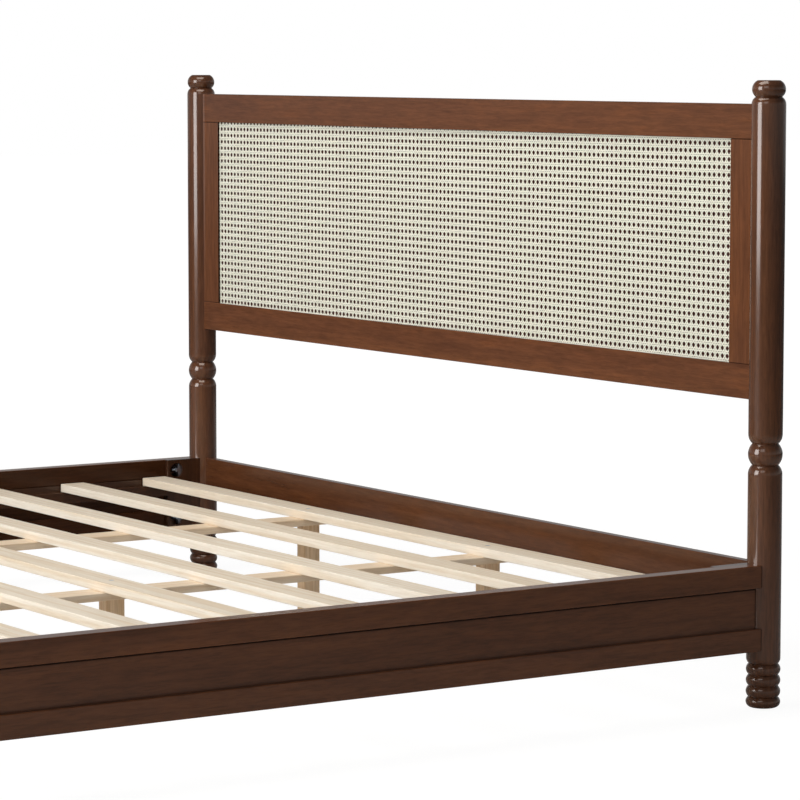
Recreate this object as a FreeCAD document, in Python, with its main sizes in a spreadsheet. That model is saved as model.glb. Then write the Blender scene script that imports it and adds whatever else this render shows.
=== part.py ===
"""King-size panel bed with turned posts, a cane headboard and a slatted base.

Millimetres. +Z is up, X runs across the bed and +Y points to the head end.
The origin is on the floor under the middle of the bed.
"""
import FreeCAD, Part
import math
import os
import re

import Sketcher

# Driving sizes in millimetres. Levels are heights above the floor.
SIZES = {
    # Whole bed, between the axes of the posts
    "post_span_x": 1960.0,
    "post_span_y": 2073.0,
    # Turned posts
    "head_post_above_frame": 41.1,
    "foot_post_above_rail": 77.2,
    "shaft_r": 30.0,
    "bead_r": 30.2,
    "bead_neck_r": 25.5,
    "bead_pitch": 19.65,
    "foot_flat_r": 21.5,
    "foot_bow": 6.7,
    "foot_shoulder": 9.4,
    "ball_level": 446.6,
    "ball_r": 30.2,
    "ball_neck_r": 23.0,
    "ball_tall": 37.6,
    "ball_shoulder": 16.0,
    "bun_tall": 28.6,
    "bun_neck_r": 23.0,
    "bun_top_r": 19.5,
    "bun_bow": 7.9,
    "bun_shoulder": 13.0,
    # Headboard frame
    "frame_top": 1053.9,
    "frame_low": 539.9,
    "frame_wide": 60.8,
    "frame_thick": 22.6,
    "frame_tenon_long": 18.0,
    "frame_tenon_tall": 40.0,
    "frame_tenon_thick": 10.0,
    "frame_dowel_r": 4.0,
    "frame_dowel_long": 50.0,
    "frame_dowel_spread": 31.0,
    # Cane and its backing board, held in a groove of the frame
    "cane_recess": 3.7,
    "cane_thick": 1.8,
    "backing_thick": 9.0,
    "panel_bite": 9.0,
    # Cross rail at the head, at the level of the side rails
    "head_rail_thick": 18.0,
    "head_rail_tall": 80.0,
    "head_tenon_tall": 60.0,
    "head_tenon_thick": 9.0,
    # Panelled rails at the sides and the foot
    "rail_top": 254.8,
    "rail_tall": 151.0,
    "rail_thick": 33.0,
    "rail_proud": 21.2,
    "rail_band": 40.0,
    "rail_panel_thick": 14.5,
    "rail_tongue": 7.5,
    # Corner blocks and the bolts that hold the rails to the posts
    "block_reach": 102.5,
    "side_block_proud": 10.5,
    "foot_block_proud": 5.0,
    "pocket_reach": 80.0,
    "pocket_r": 15.5,
    "side_bolt_inset": 23.0,
    "foot_bolt_inset": 48.0,
    "stud_r": 4.0,
    "stud_tail": 6.5,
    "nut_wide_r": 7.5,
    "nut_thick": 6.5,
    "washer_flat": 6.0,
    "washer_wide": 12.0,
    "insert_r": 6.0,
    "insert_long": 12.0,
    "insert_depth": 6.5,
    # Slats, the boards under them and the ledgers that carry their ends
    "slat_top": 219.0,
    "slat_thick": 17.0,
    "slat_wide": 56.5,
    "slat_end_gap": 3.2,
    "slat_first": 132.5,
    "beam_x": 322.0,
    "beam_wide": 56.0,
    "beam_thick": 14.0,
    "beam_overhang": 34.0,
    "ledger_wide": 25.0,
    "ledger_tall": 25.0,
    "ledger_end_gap": 1.0,
    "ledger_lip_set": 0.3,
    # Support legs
    "leg_wide": 28.0,
    "leg_deep": 37.0,
    # Glides under the posts and the legs
    "glide_proud": 1.0,
    "glide_thick": 3.5,
    "glide_pin_r": 2.0,
    "glide_pin_long": 12.0,
    "post_glide_r": 14.0,
    "leg_glide_r": 10.0,
    # Wood screws
    "leg_screw_r": 2.4,
    "leg_screw_head_r": 4.8,
    "leg_screw_long": 75.0,
    "beam_screw_r": 1.9,
    "beam_screw_head_r": 3.8,
    "beam_screw_long": 26.0,
    "ledger_screw_r": 2.1,
    "ledger_screw_head_r": 4.2,
    "ledger_screw_long": 35.0,
    # Rounded edges and clearances
    "rail_ease": 2.4,
    "frame_ease": 1.2,
    "pine_ease": 1.5,
    "fit_gap": 0.2,
    "overrun": 5.0,
}

BEAD_COUNT = 4
SLAT_COUNT = 10
# Slats, counted from the head, that have a support leg under each board
LEG_SLATS = (0, 4, 9)
LEDGER_SCREW_COUNT = 8

doc = FreeCAD.newDocument("Bed")
sheet = doc.addObject("Spreadsheet::Sheet", "Size")
for row, (alias, value) in enumerate(SIZES.items(), start=1):
    sheet.set(f"A{row}", alias)
    sheet.set(f"B{row}", str(value))
    sheet.setAlias(f"B{row}", alias)
doc.recompute()

pieces = {}


def bound(text):
    """Turn a sum of size names into an expression on the sheet."""
    return re.sub(r"\b[a-z]\w*", lambda name: "Size." + name.group(), text)


def number(text):
    """Value of a sum of size names."""
    return float(sheet.evalExpression(bound(text)))


def bind(item, **sums):
    """Bind properties of an object to sums of size names."""
    for name, text in sums.items():
        item.setExpression(name, bound(text))
    return item


def place(item, x="0", y="0", z="0", axis=(0, 0, 1), turn=0):
    """Place an object at bound coordinates, turned about an axis."""
    turned_by = FreeCAD.Rotation(FreeCAD.Vector(*axis), turn)
    item.Placement = FreeCAD.Placement(FreeCAD.Vector(), turned_by)
    for direction, text in zip("xyz", (x, y, z)):
        item.setExpression(f".Placement.Base.{direction}", bound(text))
    return item


def keep(item, label):
    """Keep an object as the finished piece of that name."""
    item.Label = label
    pieces[label] = item
    return item


def signed(sign, reach):
    """Coordinate at a distance from the middle, on the side of the sign."""
    return reach if sign > 0 else f"-({reach})"


def times(sign, low, high):
    """Range from low to high, mirrored when sign is negative."""
    if sign > 0:
        return low, high
    return f"-({high})", f"-({low})"


def middle(centre, wide):
    """Range of a given width about a centre."""
    return f"({centre}) - ({wide}) / 2", f"({centre}) + ({wide}) / 2"


def size_of(limits):
    low, high = limits
    return f"({high}) - ({low})"


def box(name, x, y, z):
    item = doc.addObject("Part::Box", name)
    bind(item, Length=size_of(x), Width=size_of(y), Height=size_of(z))
    return place(item, x[0], y[0], z[0])


# Turn that points a solid's own Z axis along an axis of the bed
ALONG = {
    "x": ((0, 1, 0), 90),
    "y": ((1, 0, 0), -90),
    "z": ((0, 0, 1), 0),
    "-z": ((1, 0, 0), 180),
}


def rod(name, radius, long, at, along="z"):
    """Cylinder from a point, along an axis."""
    item = doc.addObject("Part::Cylinder", name)
    bind(item, Radius=radius, Height=long)
    axis, turn = ALONG[along]
    return place(item, *at, axis=axis, turn=turn)


def join(name, items):
    whole = doc.addObject("Part::MultiFuse", name)
    whole.Shapes = items
    return whole


def group(name, items):
    whole = doc.addObject("Part::Compound", name)
    whole.Links = items
    return whole


def cut(name, base, tools):
    """Base with the tools taken away one after another."""
    for index, tool in enumerate(tools):
        last = index == len(tools) - 1
        whole = doc.addObject("Part::Cut", name if last else f"{name}_step_{index}")
        whole.Base, whole.Tool = base, tool
        base = whole
    return base


def draw(sketch, outline):
    """Closed outline of (across, up, radius) corners, counterclockwise.

    The radius is that of the arc that arrives at the corner, or None for a straight line.
    """
    spots = [FreeCAD.Vector(number(across), number(up), 0) for across, up, _ in outline]
    for index, (_, _, radius) in enumerate(outline):
        start, end = spots[index - 1], spots[index]
        if radius is None:
            sketch.addGeometry(Part.LineSegment(start, end), False)
            continue
        reach = number(radius)
        chord = end - start
        inward = FreeCAD.Vector(-chord.y, chord.x, 0).normalize()
        rise = math.sqrt(max(reach ** 2 - (chord.Length / 2) ** 2, 0))
        centre = (start + end) / 2 + inward * rise
        first = math.atan2(start.y - centre.y, start.x - centre.x)
        last = math.atan2(end.y - centre.y, end.x - centre.x)
        circle = Part.Circle(centre, FreeCAD.Vector(0, 0, 1), reach)
        sketch.addGeometry(Part.ArcOfCircle(circle, first, last), False)

    def limit(text, kind, *where):
        row = sketch.addConstraint(Sketcher.Constraint(kind, *where, number(text)))
        sketch.setExpression(f"Constraints[{row}]", bound(text))

    for index, (across, up, radius) in enumerate(outline):
        following = (index + 1) % len(outline)
        sketch.addConstraint(Sketcher.Constraint("Coincident", index, 2, following, 1))
        if across == "0":
            sketch.addConstraint(Sketcher.Constraint("PointOnObject", index, 2, -2))
        else:
            limit(across, "DistanceX", -1, 1, index, 2)
        if up == "0":
            sketch.addConstraint(Sketcher.Constraint("PointOnObject", index, 2, -1))
        else:
            limit(up, "DistanceY", -1, 1, index, 2)
        if radius is not None:
            limit(radius, "Radius", index)


def body_with_sketch(name, plane, outline):
    body = doc.addObject("PartDesign::Body", name)
    sketch = body.newObject("Sketcher::SketchObject", name + "_outline")
    origin = [item for item in body.Origin.OriginFeatures if item.Role == plane]
    sketch.AttachmentSupport = [(origin[0], "")]
    sketch.MapMode = "FlatFace"
    draw(sketch, outline)
    return body, sketch


# Sketch plane across each direction, and whether a pad from it runs backwards
PLANE_ACROSS = {"x": ("YZ_Plane", False), "y": ("XZ_Plane", True), "z": ("XY_Plane", False)}


def plank(name, x, y, z, along, ease):
    """Board with its long edges rounded, between limits, its grain along one axis."""
    sizes = {"x": size_of(x), "y": size_of(y), "z": size_of(z)}
    long = sizes.pop(along)
    wide, tall = sizes.values()
    corners = [
        (f"({wide}) - {ease}", "0", None),
        (wide, ease, ease),
        (wide, f"({tall}) - {ease}", None),
        (f"({wide}) - {ease}", tall, ease),
        (ease, tall, None),
        ("0", f"({tall}) - {ease}", ease),
        ("0", ease, None),
        (ease, "0", ease),
    ]
    plane, backwards = PLANE_ACROSS[along]
    body, sketch = body_with_sketch(name, plane, corners)
    pad = body.newObject("PartDesign::Pad", name + "_length")
    pad.Profile = sketch
    pad.Reversed = backwards
    bind(pad, Length=long)
    return place(body, x[0], y[0], z[0])


def turned(name, outline):
    """Body turned about its own Z axis from an outline of (radius, level, arc) corners."""
    body, sketch = body_with_sketch(name, "XZ_Plane", outline)
    turning = body.newObject("PartDesign::Revolution", name + "_turning")
    turning.Profile = sketch
    turning.ReferenceAxis = (sketch, ["V_Axis"])
    return body


def screw(name, kind, gap, at, along):
    """Countersunk screw of that kind, its head flush at a point and facing along an axis."""
    shank, head = f"{kind}_r + {gap}", f"{kind}_head_r + {gap}"
    head_tall = f"({kind}_head_r - {kind}_r)"
    top = doc.addObject("Part::Cone", name + "_head")
    bind(top, Radius1=shank, Radius2=head, Height=head_tall)
    place(top, z=f"-{head_tall}")
    long = f"({kind}_long + {gap})"
    stem = rod(name + "_stem", shank, f"{long} - {head_tall}", ("0", "0", f"-{long}"))
    axis, turn = ALONG[along]
    return place(join(name, [top, stem]), *at, axis=axis, turn=turn)


# Places worked out from the driving sizes
POST_X = "post_span_x / 2"
POST_Y = "post_span_y / 2"
RAIL_LOW = "(rail_top - rail_tall)"
# Inward distances from the line between two post axes
BAND_IN = "(rail_thick - rail_proud)"
PANEL_OUT = "(-rail_proud + (rail_thick - rail_panel_thick) / 2)"
PANEL_IN = "(rail_thick - rail_proud - (rail_thick - rail_panel_thick) / 2)"
# Headboard
OPEN_TOP = "(frame_top - frame_wide)"
OPEN_LOW = "(frame_low + frame_wide)"
OPEN_X = f"({POST_X} - shaft_r - frame_wide)"
FRAME_FRONT = "(-frame_thick / 2)"
CANE_FRONT = f"({FRAME_FRONT} + cane_recess)"
CANE_BACK = f"({CANE_FRONT} + cane_thick)"
BOARD_BACK = f"({CANE_BACK} + backing_thick)"
# Slatted base
SLAT_LOW = "(slat_top - slat_thick)"
BEAM_LOW = f"({SLAT_LOW} - beam_thick)"
SLAT_PITCH = f"((post_span_y - 2 * slat_first) / {SLAT_COUNT - 1})"


def slat_y(index):
    return f"({POST_Y} - slat_first - {index} * {SLAT_PITCH})"


# Post outline, from the floor up
def arc_of_bow(start, end, bow):
    """Radius of the arc between two corners that bulges by a bow."""
    across = f"(({end[0]}) - ({start[0]}))"
    up = f"(({end[1]}) - ({start[1]}))"
    return f"({across}^2 + {up}^2) / (8 * ({bow})) + ({bow}) / 2"


def arc_of_shoulder(deep, tall):
    """Radius of the arc that leaves a straight shaft smoothly and closes in to a neck."""
    return f"(({deep})^2 + ({tall})^2) / (2 * ({deep}))"


def add_bowed(outline, across, up, bow):
    outline.append((across, up, arc_of_bow(outline[-1], (across, up), bow)))


def post_foot():
    """Foot of beads and the shoulder above them."""
    outline = [("0", "glide_proud", None), ("foot_flat_r", "glide_proud", None)]
    add_bowed(outline, "bead_neck_r", "bead_pitch", "foot_bow")
    for index in range(2, BEAD_COUNT + 1):
        add_bowed(outline, "bead_neck_r", f"{index} * bead_pitch", "bead_r - bead_neck_r")
    shoulder = arc_of_shoulder("shaft_r - bead_neck_r", "foot_shoulder")
    outline.append(("shaft_r", f"{BEAD_COUNT} * bead_pitch + foot_shoulder", shoulder))
    return outline


def post_ball():
    """Ball between two necks, with a shoulder below and above."""
    low, high = middle("ball_level", "ball_tall")
    shoulder = arc_of_shoulder("shaft_r - ball_neck_r", "ball_shoulder")
    outline = [("shaft_r", f"{low} - ball_shoulder", None), ("ball_neck_r", low, shoulder)]
    add_bowed(outline, "ball_neck_r", high, "ball_r - ball_neck_r")
    outline.append(("shaft_r", f"{high} + ball_shoulder", shoulder))
    return outline


def post_bun(top):
    """Shoulder, neck and flattened bun at the top."""
    neck = f"({top} - bun_tall)"
    shoulder = arc_of_shoulder("shaft_r - bun_neck_r", "bun_shoulder")
    outline = [("shaft_r", f"{neck} - bun_shoulder", None), ("bun_neck_r", neck, shoulder)]
    add_bowed(outline, "bun_top_r", top, "bun_bow")
    outline.append(("0", top, None))
    return outline


def mortise(name, side, y, z, tenon, tall, thick):
    """Hole in a post for the tenon of a rail that runs across the bed."""
    x = times(side, f"{POST_X} - shaft_r - overrun", f"{POST_X} - shaft_r + {tenon} + fit_gap")
    return box(name, x, middle(y, f"{thick} + 2 * fit_gap"), middle(z, f"{tall} + 2 * fit_gap"))


FRAME_RAILS = {
    "headboard_top_rail": "(frame_top - frame_wide / 2)",
    "headboard_bottom_rail": "(frame_low + frame_wide / 2)",
}
HEAD_RAIL_MID = "(rail_top - head_rail_tall / 2)"
HEAD_POST_TOP = "(frame_top + head_post_above_frame)"
FOOT_POST_TOP = "(rail_top + foot_post_above_rail)"


def glide(name, radius, gap, at):
    """Disc with a pin that is driven into the end grain, and its hole where a gap is given."""
    disc = rod(name + "_disc", f"{radius} + {gap}", f"glide_thick + {gap}", ("0", "0", "0"))
    pin_long = f"glide_thick + glide_pin_long + {gap}"
    pin = rod(name + "_pin", f"glide_pin_r + {gap}", pin_long, ("0", "0", "0"))
    return place(join(name, [disc, pin]), *at)


def post(label, side, end, outline, cutters):
    """Turned post with the holes for what joins it."""
    x, y = signed(side, POST_X), signed(end, POST_Y)
    blank = place(turned(label + "_blank", outline), x, y)
    seat = glide(label + "_seat", "post_glide_r", "fit_gap", (x, y, "0"))
    return keep(cut(label, blank, [seat] + cutters), label)


# Rails that run between two posts. In a rail's own frame the first post stands at the origin
# and the rail runs along +X, with the inside of the bed at +Y or -Y by its side sign.
RAILS = {
    "side_rail_right": dict(post=(1, 1), turn=-90, side=-1, run="post_span_y",
                            bolt="side_bolt_inset", proud="side_block_proud",
                            ends=("head_right", "foot_right")),
    "side_rail_left": dict(post=(-1, 1), turn=-90, side=1, run="post_span_y",
                           bolt="side_bolt_inset", proud="side_block_proud",
                           ends=("head_left", "foot_left")),
    "foot_rail": dict(post=(-1, -1), turn=0, side=1, run="post_span_x",
                      bolt="foot_bolt_inset", proud="foot_block_proud",
                      ends=("foot_left", "foot_right")),
}
hardware = {"rail_studs": [], "rail_nuts": [], "half_moon_washers": [], "post_inserts": []}
post_cutters = {"head_right": [], "foot_right": [], "head_left": [], "foot_left": []}


def seat_rail(item, rail):
    """Move what was built in a rail's own frame to its place in the bed."""
    x, y = [signed(sign, span) for sign, span in zip(rail["post"], (POST_X, POST_Y))]
    return place(item, x, y, turn=rail["turn"])


def along_rail(rail, end, near, far):
    """Range of distances from the post at one end of a rail."""
    if end == 0:
        return near, far
    return f"{rail['run']} - ({far})", f"{rail['run']} - ({near})"


def copes(name, rail):
    """Hollows where a rail meets the two round posts."""
    rise = (f"{RAIL_LOW} - overrun", "rail_top + overrun")
    return [
        rod(f"{name}_cope_{end}", "shaft_r + fit_gap", size_of(rise), (at, "0", rise[0]))
        for end, at in enumerate(("0", rail["run"]))
    ]


def bolt_levels(rail):
    return f"(rail_top - {rail['bolt']})", f"({RAIL_LOW} + {rail['bolt']})"


def rail_pieces(name, rail):
    """Top member, bottom member and the recessed panel tongued into both."""
    side, whole = rail["side"], ("0", rail["run"])
    groove_y = times(side, f"{PANEL_OUT} - fit_gap", f"{PANEL_IN} + fit_gap")
    member_y = times(side, "-rail_proud", BAND_IN)
    bands = {
        "top": (("rail_top - rail_band", "rail_top"),
                ("rail_top - rail_band - overrun", "rail_top - rail_band + rail_tongue + fit_gap")),
        "bottom": ((RAIL_LOW, f"{RAIL_LOW} + rail_band"),
                   (f"{RAIL_LOW} + rail_band - rail_tongue - fit_gap",
                    f"{RAIL_LOW} + rail_band + overrun")),
    }
    for band, (level, groove_level) in bands.items():
        part = f"{name}_{band}"
        tools = copes(part, rail)
        tools.append(box(part + "_groove", whole, groove_y, groove_level))
        for end in (0, 1):
            notch_x = along_rail(rail, end, "0", "block_reach + fit_gap")
            notch_y = times(side, PANEL_IN, f"{BAND_IN} + overrun")
            notch_z = (f"{level[0]} - overrun", f"{level[1]} + overrun")
            tools.append(box(f"{part}_notch_{end}", notch_x, notch_y, notch_z))
        blank = plank(part + "_blank", whole, member_y, level, "x", "rail_ease")
        seat_rail(keep(cut(part, blank, tools), part), rail)
    level = (f"{RAIL_LOW} + rail_band - rail_tongue", "rail_top - rail_band + rail_tongue")
    panel_y = times(side, PANEL_OUT, PANEL_IN)
    board = box(f"{name}_panel_blank", whole, panel_y, level)
    tools = copes(f"{name}_panel", rail)
    if name.startswith("side"):
        tools += ledger_holes(name, rail)
    seat_rail(keep(cut(f"{name}_panel", board, tools), f"{name}_panel"), rail)


def stud_point(rail, end, distance):
    """Low end of a range that starts at a distance from the post axis."""
    return along_rail(rail, end, distance, distance)[0]


def block_in(rail):
    """Inner face of a rail's corner blocks."""
    return f"({BAND_IN} + {rail['proud']})"


def stud_in(rail):
    """Middle of the corner blocks' thickness, where the studs run."""
    return f"(({PANEL_IN} + {block_in(rail)}) / 2)"


def across_rail(rail, inward):
    return signed(rail["side"], inward)


INSERT_REACH = "(shaft_r - insert_depth - insert_long)"
WASHER_FLAT = "(pocket_reach - washer_flat)"
STUD_END = f"({WASHER_FLAT} + nut_thick + stud_tail)"


def insert_bore(name, rail, end, level):
    """Hole in the post for a threaded insert, seen from the rail's frame."""
    reach = along_rail(rail, end, f"{INSERT_REACH} - fit_gap", "shaft_r + overrun")
    at = (reach[0], across_rail(rail, stud_in(rail)), level)
    bore = rod(name, "insert_r + fit_gap", size_of(reach), at, "x")
    return seat_rail(group(name + "_seated", [bore]), rail)


def bolt_set(name, rail, end, level):
    """Stud, nut, half-moon washer and threaded insert of one bolt, in the rail's frame."""
    inward = across_rail(rail, stud_in(rail))

    def bar(part, radius, near, far):
        reach = along_rail(rail, end, near, far)
        return rod(f"{name}_{part}", radius, size_of(reach), (reach[0], inward, level), "x")

    stud_rod = bar("stud_rod", "stud_r", f"{INSERT_REACH} + fit_gap", STUD_END)
    stud = group(name + "_stud", [stud_rod])

    nut_reach = along_rail(rail, end, WASHER_FLAT, f"{WASHER_FLAT} + nut_thick")
    hexagon = doc.addObject("Part::Prism", name + "_hexagon")
    hexagon.Polygon = 6
    bind(hexagon, Circumradius="nut_wide_r", Height="nut_thick")
    place(hexagon, nut_reach[0], inward, level, *ALONG["x"])
    nut_bore = bar("nut_bore", "stud_r + fit_gap", f"{WASHER_FLAT} - overrun", f"{STUD_END} + overrun")
    nut = cut(name + "_nut", hexagon, [nut_bore])

    disc_at = (stud_point(rail, end, "pocket_reach"), f"{inward} - washer_wide / 2", level)
    disc = rod(name + "_washer_disc", "pocket_r - fit_gap", "washer_wide", disc_at, "y")
    kept = box(
        name + "_washer_half",
        along_rail(rail, end, "pocket_reach - pocket_r - overrun", WASHER_FLAT),
        middle(inward, "washer_wide + 2 * overrun"),
        middle(level, "2 * (pocket_r + overrun)"),
    )
    half = doc.addObject("Part::Common", name + "_washer_blank")
    half.Base, half.Tool = disc, kept
    hole = bar("washer_bore", "stud_r + fit_gap", "pocket_reach - pocket_r - overrun", "pocket_reach")
    washer = cut(name + "_washer", half, [hole])

    sleeve = bar("sleeve", "insert_r", INSERT_REACH, f"{INSERT_REACH} + insert_long")
    thread = bar("thread", "stud_r + fit_gap", f"{INSERT_REACH} - overrun", f"{STUD_END}")
    insert = cut(name + "_insert", sleeve, [thread])
    return stud, nut, washer, insert


def corner_block(label, rail, end):
    """Block inside the rail at a post, with a pocket and a bolt hole at two levels."""
    blank = plank(
        label + "_blank",
        along_rail(rail, end, "0", "block_reach"),
        times(rail["side"], PANEL_IN, block_in(rail)),
        (RAIL_LOW, "rail_top"),
        "z",
        "rail_ease",
    )
    tools = [copes(label, rail)[end]]
    for row, level in enumerate(bolt_levels(rail)):
        pocket_y = times(rail["side"], f"{PANEL_IN} - overrun", f"{block_in(rail)} + overrun")
        centre = stud_point(rail, end, "pocket_reach")
        pocket = rod(f"{label}_pocket_{row}", "pocket_r", size_of(pocket_y),
                     (centre, pocket_y[0], level), "y")
        reach = along_rail(rail, end, "0", "pocket_reach")
        hole = rod(f"{label}_bolt_hole_{row}", "stud_r + fit_gap", size_of(reach),
                   (reach[0], across_rail(rail, stud_in(rail)), level), "x")
        tools += [pocket, hole]
    seat_rail(keep(cut(label, blank, tools), label), rail)


def rail_end(name, rail, end):
    """Everything at one end of a rail: block, bolts and the post's holes for the inserts."""
    corner = rail["ends"][end]
    block = f"corner_block_{corner}" if name.startswith("side") else f"foot_rail_block_{corner[5:]}"
    corner_block(block, rail, end)
    for row, level in enumerate(bolt_levels(rail)):
        bolt = f"{block}_bolt_{row}"
        for kind, item in zip(hardware, bolt_set(bolt, rail, end, level)):
            hardware[kind].append(seat_rail(item, rail))
        post_cutters[corner].append(insert_bore(bolt + "_post_bore", rail, end, level))


# Ledgers inside the side rails
LEDGER_IN = f"({PANEL_IN} + ledger_wide)"
LEDGER_FIRST = "(block_reach + ledger_end_gap)"


def ledger_screws(name, rail, gap):
    """Screws through the ledger into the rail's panel, or their holes where a gap is given."""
    items = []
    for row in range(LEDGER_SCREW_COUNT):
        share = f"({2 * row + 1} / {2 * LEDGER_SCREW_COUNT})"
        along = f"({LEDGER_FIRST} + {share} * ({rail['run']} - 2 * {LEDGER_FIRST}))"
        at = (along, across_rail(rail, LEDGER_IN), f"({SLAT_LOW} - ledger_tall / 2)")
        item = screw(f"{name}_{row}", "ledger_screw", gap, ("0", "0", "0"), "z")
        axis = (-rail["side"], 0, 0)
        items.append(place(item, *at, axis=axis, turn=90))
    return items


def ledger_holes(name, rail):
    return ledger_screws(name + "_panel_screw_hole", rail, "fit_gap")


def ledger(name, rail):
    """Cleat under the slat ends, with a lip behind them up to the rail's top member."""
    label = name.replace("side_rail", "slat_ledger")
    x = (LEDGER_FIRST, f"{rail['run']} - {LEDGER_FIRST}")
    y = times(rail["side"], PANEL_IN, LEDGER_IN)
    z = (f"{SLAT_LOW} - ledger_tall", SLAT_LOW)
    blank = plank(label + "_blank", x, y, z, "x", "pine_ease")
    lip_y = times(rail["side"], PANEL_IN, f"{BAND_IN} - ledger_lip_set")
    lip_z = (f"{SLAT_LOW} - pine_ease", "rail_top - rail_band - fit_gap")
    lip = box(label + "_lip", x, lip_y, lip_z)
    whole = join(label + "_whole", [blank, lip])
    holes = ledger_screws(label + "_screw_hole", rail, "fit_gap")
    seat_rail(keep(cut(label, whole, holes), label), rail)
    screws = ledger_screws(label + "_screw", rail, "0")
    return [seat_rail(group(label + "_screws", screws), rail)]


def tenoned_rail(label, z, thick, tenon_tall, tenon_thick, tools):
    """Rail across the bed, hollowed to the round posts, with a tenon at each end."""
    reach = f"({POST_X} - shaft_r + frame_tenon_long)"
    x = (f"-{reach}", reach)
    y = middle(POST_Y, thick)
    blank = plank(label + "_blank", x, y, z, "x", "frame_ease")
    centre = f"(({z[0]}) + ({z[1]})) / 2"
    cutters = []
    for side, where in ((-1, "left"), (1, "right")):
        at = (signed(side, POST_X), POST_Y, f"{z[0]} - overrun")
        tall = f"({size_of(z)}) + 2 * overrun"
        shell = rod(f"{label}_post_{where}", "shaft_r + fit_gap", tall, at)
        spare = times(side, f"{POST_X} - shaft_r - frame_wide", POST_X)
        tenon = box(f"{label}_tenon_{where}", spare, middle(POST_Y, tenon_thick),
                    middle(centre, tenon_tall))
        cutters.append(cut(f"{label}_shoulder_{where}", shell, [tenon]))
    return keep(cut(label, blank, cutters + tools), label)


def frame_groove(name, x, z):
    """Groove that holds the cane and its board."""
    y = (f"{POST_Y} + {CANE_FRONT}", f"{POST_Y} + {BOARD_BACK} + fit_gap")
    return box(name, x, y, z)


def frame_dowels(name, gap):
    """Dowels between the headboard's rails and stiles, or their holes where a gap is given."""
    items = []
    long = f"(frame_dowel_long + 2 * ({gap}))"
    for side in (-1, 1):
        for level in (OPEN_LOW, OPEN_TOP):
            for step in (-1, 1):
                inset = f"({OPEN_X} + frame_wide / 2 + {step} * frame_dowel_spread / 2)"
                at = (signed(side, inset), POST_Y, f"{level} - {long} / 2")
                items.append(rod(f"{name}_{len(items)}", f"frame_dowel_r + {gap}", long, at))
    return items


def headboard():
    grip_x = f"({OPEN_X} + panel_bite + fit_gap)"
    wide = (f"-{grip_x}", grip_x)
    grooves = {
        "headboard_top_rail": (f"{OPEN_TOP} - overrun", f"{OPEN_TOP} + panel_bite + fit_gap"),
        "headboard_bottom_rail": (f"{OPEN_LOW} - panel_bite - fit_gap", f"{OPEN_LOW} + overrun"),
    }
    for label, centre in FRAME_RAILS.items():
        tools = [frame_groove(label + "_groove", wide, grooves[label])]
        tools += frame_dowels(label + "_dowel_hole", "fit_gap")
        tenoned_rail(label, middle(centre, "frame_wide"), "frame_thick",
                     "frame_tenon_tall", "frame_tenon_thick", tools)
    for side, where in ((-1, "left"), (1, "right")):
        label = f"headboard_stile_{where}"
        x = times(side, OPEN_X, POST_X)
        blank = plank(label + "_blank", x, middle(POST_Y, "frame_thick"), (OPEN_LOW, OPEN_TOP),
                      "z", "frame_ease")
        at = (signed(side, POST_X), POST_Y, f"{OPEN_LOW} - overrun")
        tall = f"{OPEN_TOP} - {OPEN_LOW} + 2 * overrun"
        hollow = rod(label + "_cope", "shaft_r + fit_gap", tall, at)
        groove_x = times(side, f"{OPEN_X} - overrun", grip_x)
        groove_z = (f"{OPEN_LOW} - overrun", f"{OPEN_TOP} + overrun")
        tools = [hollow, frame_groove(label + "_groove", groove_x, groove_z)]
        tools += frame_dowels(label + "_dowel_hole", "fit_gap")
        keep(cut(label, blank, tools), label)
    edge = f"({OPEN_X} + panel_bite)"
    panel_x = (f"-{edge}", edge)
    panel_z = (f"{OPEN_LOW} - panel_bite", f"{OPEN_TOP} + panel_bite")
    cane_y = (f"{POST_Y} + {CANE_FRONT}", f"{POST_Y} + {CANE_BACK}")
    board_y = (f"{POST_Y} + {CANE_BACK}", f"{POST_Y} + {BOARD_BACK}")
    keep(box("cane_panel", panel_x, cane_y, panel_z), "cane_panel")
    keep(box("headboard_backing_board", panel_x, board_y, panel_z), "headboard_backing_board")
    keep(group("frame_dowels", frame_dowels("frame_dowel", "0")), "frame_dowels")
    tenoned_rail("head_cross_rail", ("rail_top - head_rail_tall", "rail_top"), "head_rail_thick",
                 "head_tenon_tall", "head_tenon_thick", [])


def posts():
    for side, where in ((-1, "left"), (1, "right")):
        cutters = [
            mortise(f"{label}_mortise_{where}", side, POST_Y, centre, "frame_tenon_long",
                    "frame_tenon_tall", "frame_tenon_thick")
            for label, centre in FRAME_RAILS.items()
        ]
        cutters.append(mortise(f"head_cross_rail_mortise_{where}", side, POST_Y, HEAD_RAIL_MID,
                               "frame_tenon_long", "head_tenon_tall", "head_tenon_thick"))
        cutters += post_cutters[f"head_{where}"]
        post(f"headboard_post_{where}", side, 1,
             post_foot() + post_ball() + post_bun(HEAD_POST_TOP), cutters)
        post(f"foot_post_{where}", side, -1,
             post_foot() + post_bun(FOOT_POST_TOP), post_cutters[f"foot_{where}"])
    glides = [
        glide(f"post_glide_{side}_{end}", "post_glide_r", "0",
              (signed(side, POST_X), signed(end, POST_Y), "0"))
        for side in (-1, 1) for end in (-1, 1)
    ]
    keep(group("post_glides", glides), "post_glides")


# Slatted base
BEAMS = {"left": "(-beam_x)", "right": "beam_x"}


def leg_screw(name, gap, beam, index):
    return screw(name, "leg_screw", gap, (BEAMS[beam], slat_y(index), "slat_top"), "z")


def beam_screw(name, gap, beam, index):
    return screw(name, "beam_screw", gap, (BEAMS[beam], slat_y(index), BEAM_LOW), "-z")


def crossing(name, gap, beam, index):
    """Screw where a slat crosses a board, from above over a leg and from below elsewhere."""
    make = leg_screw if index in LEG_SLATS else beam_screw
    return make(name, gap, beam, index)


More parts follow.
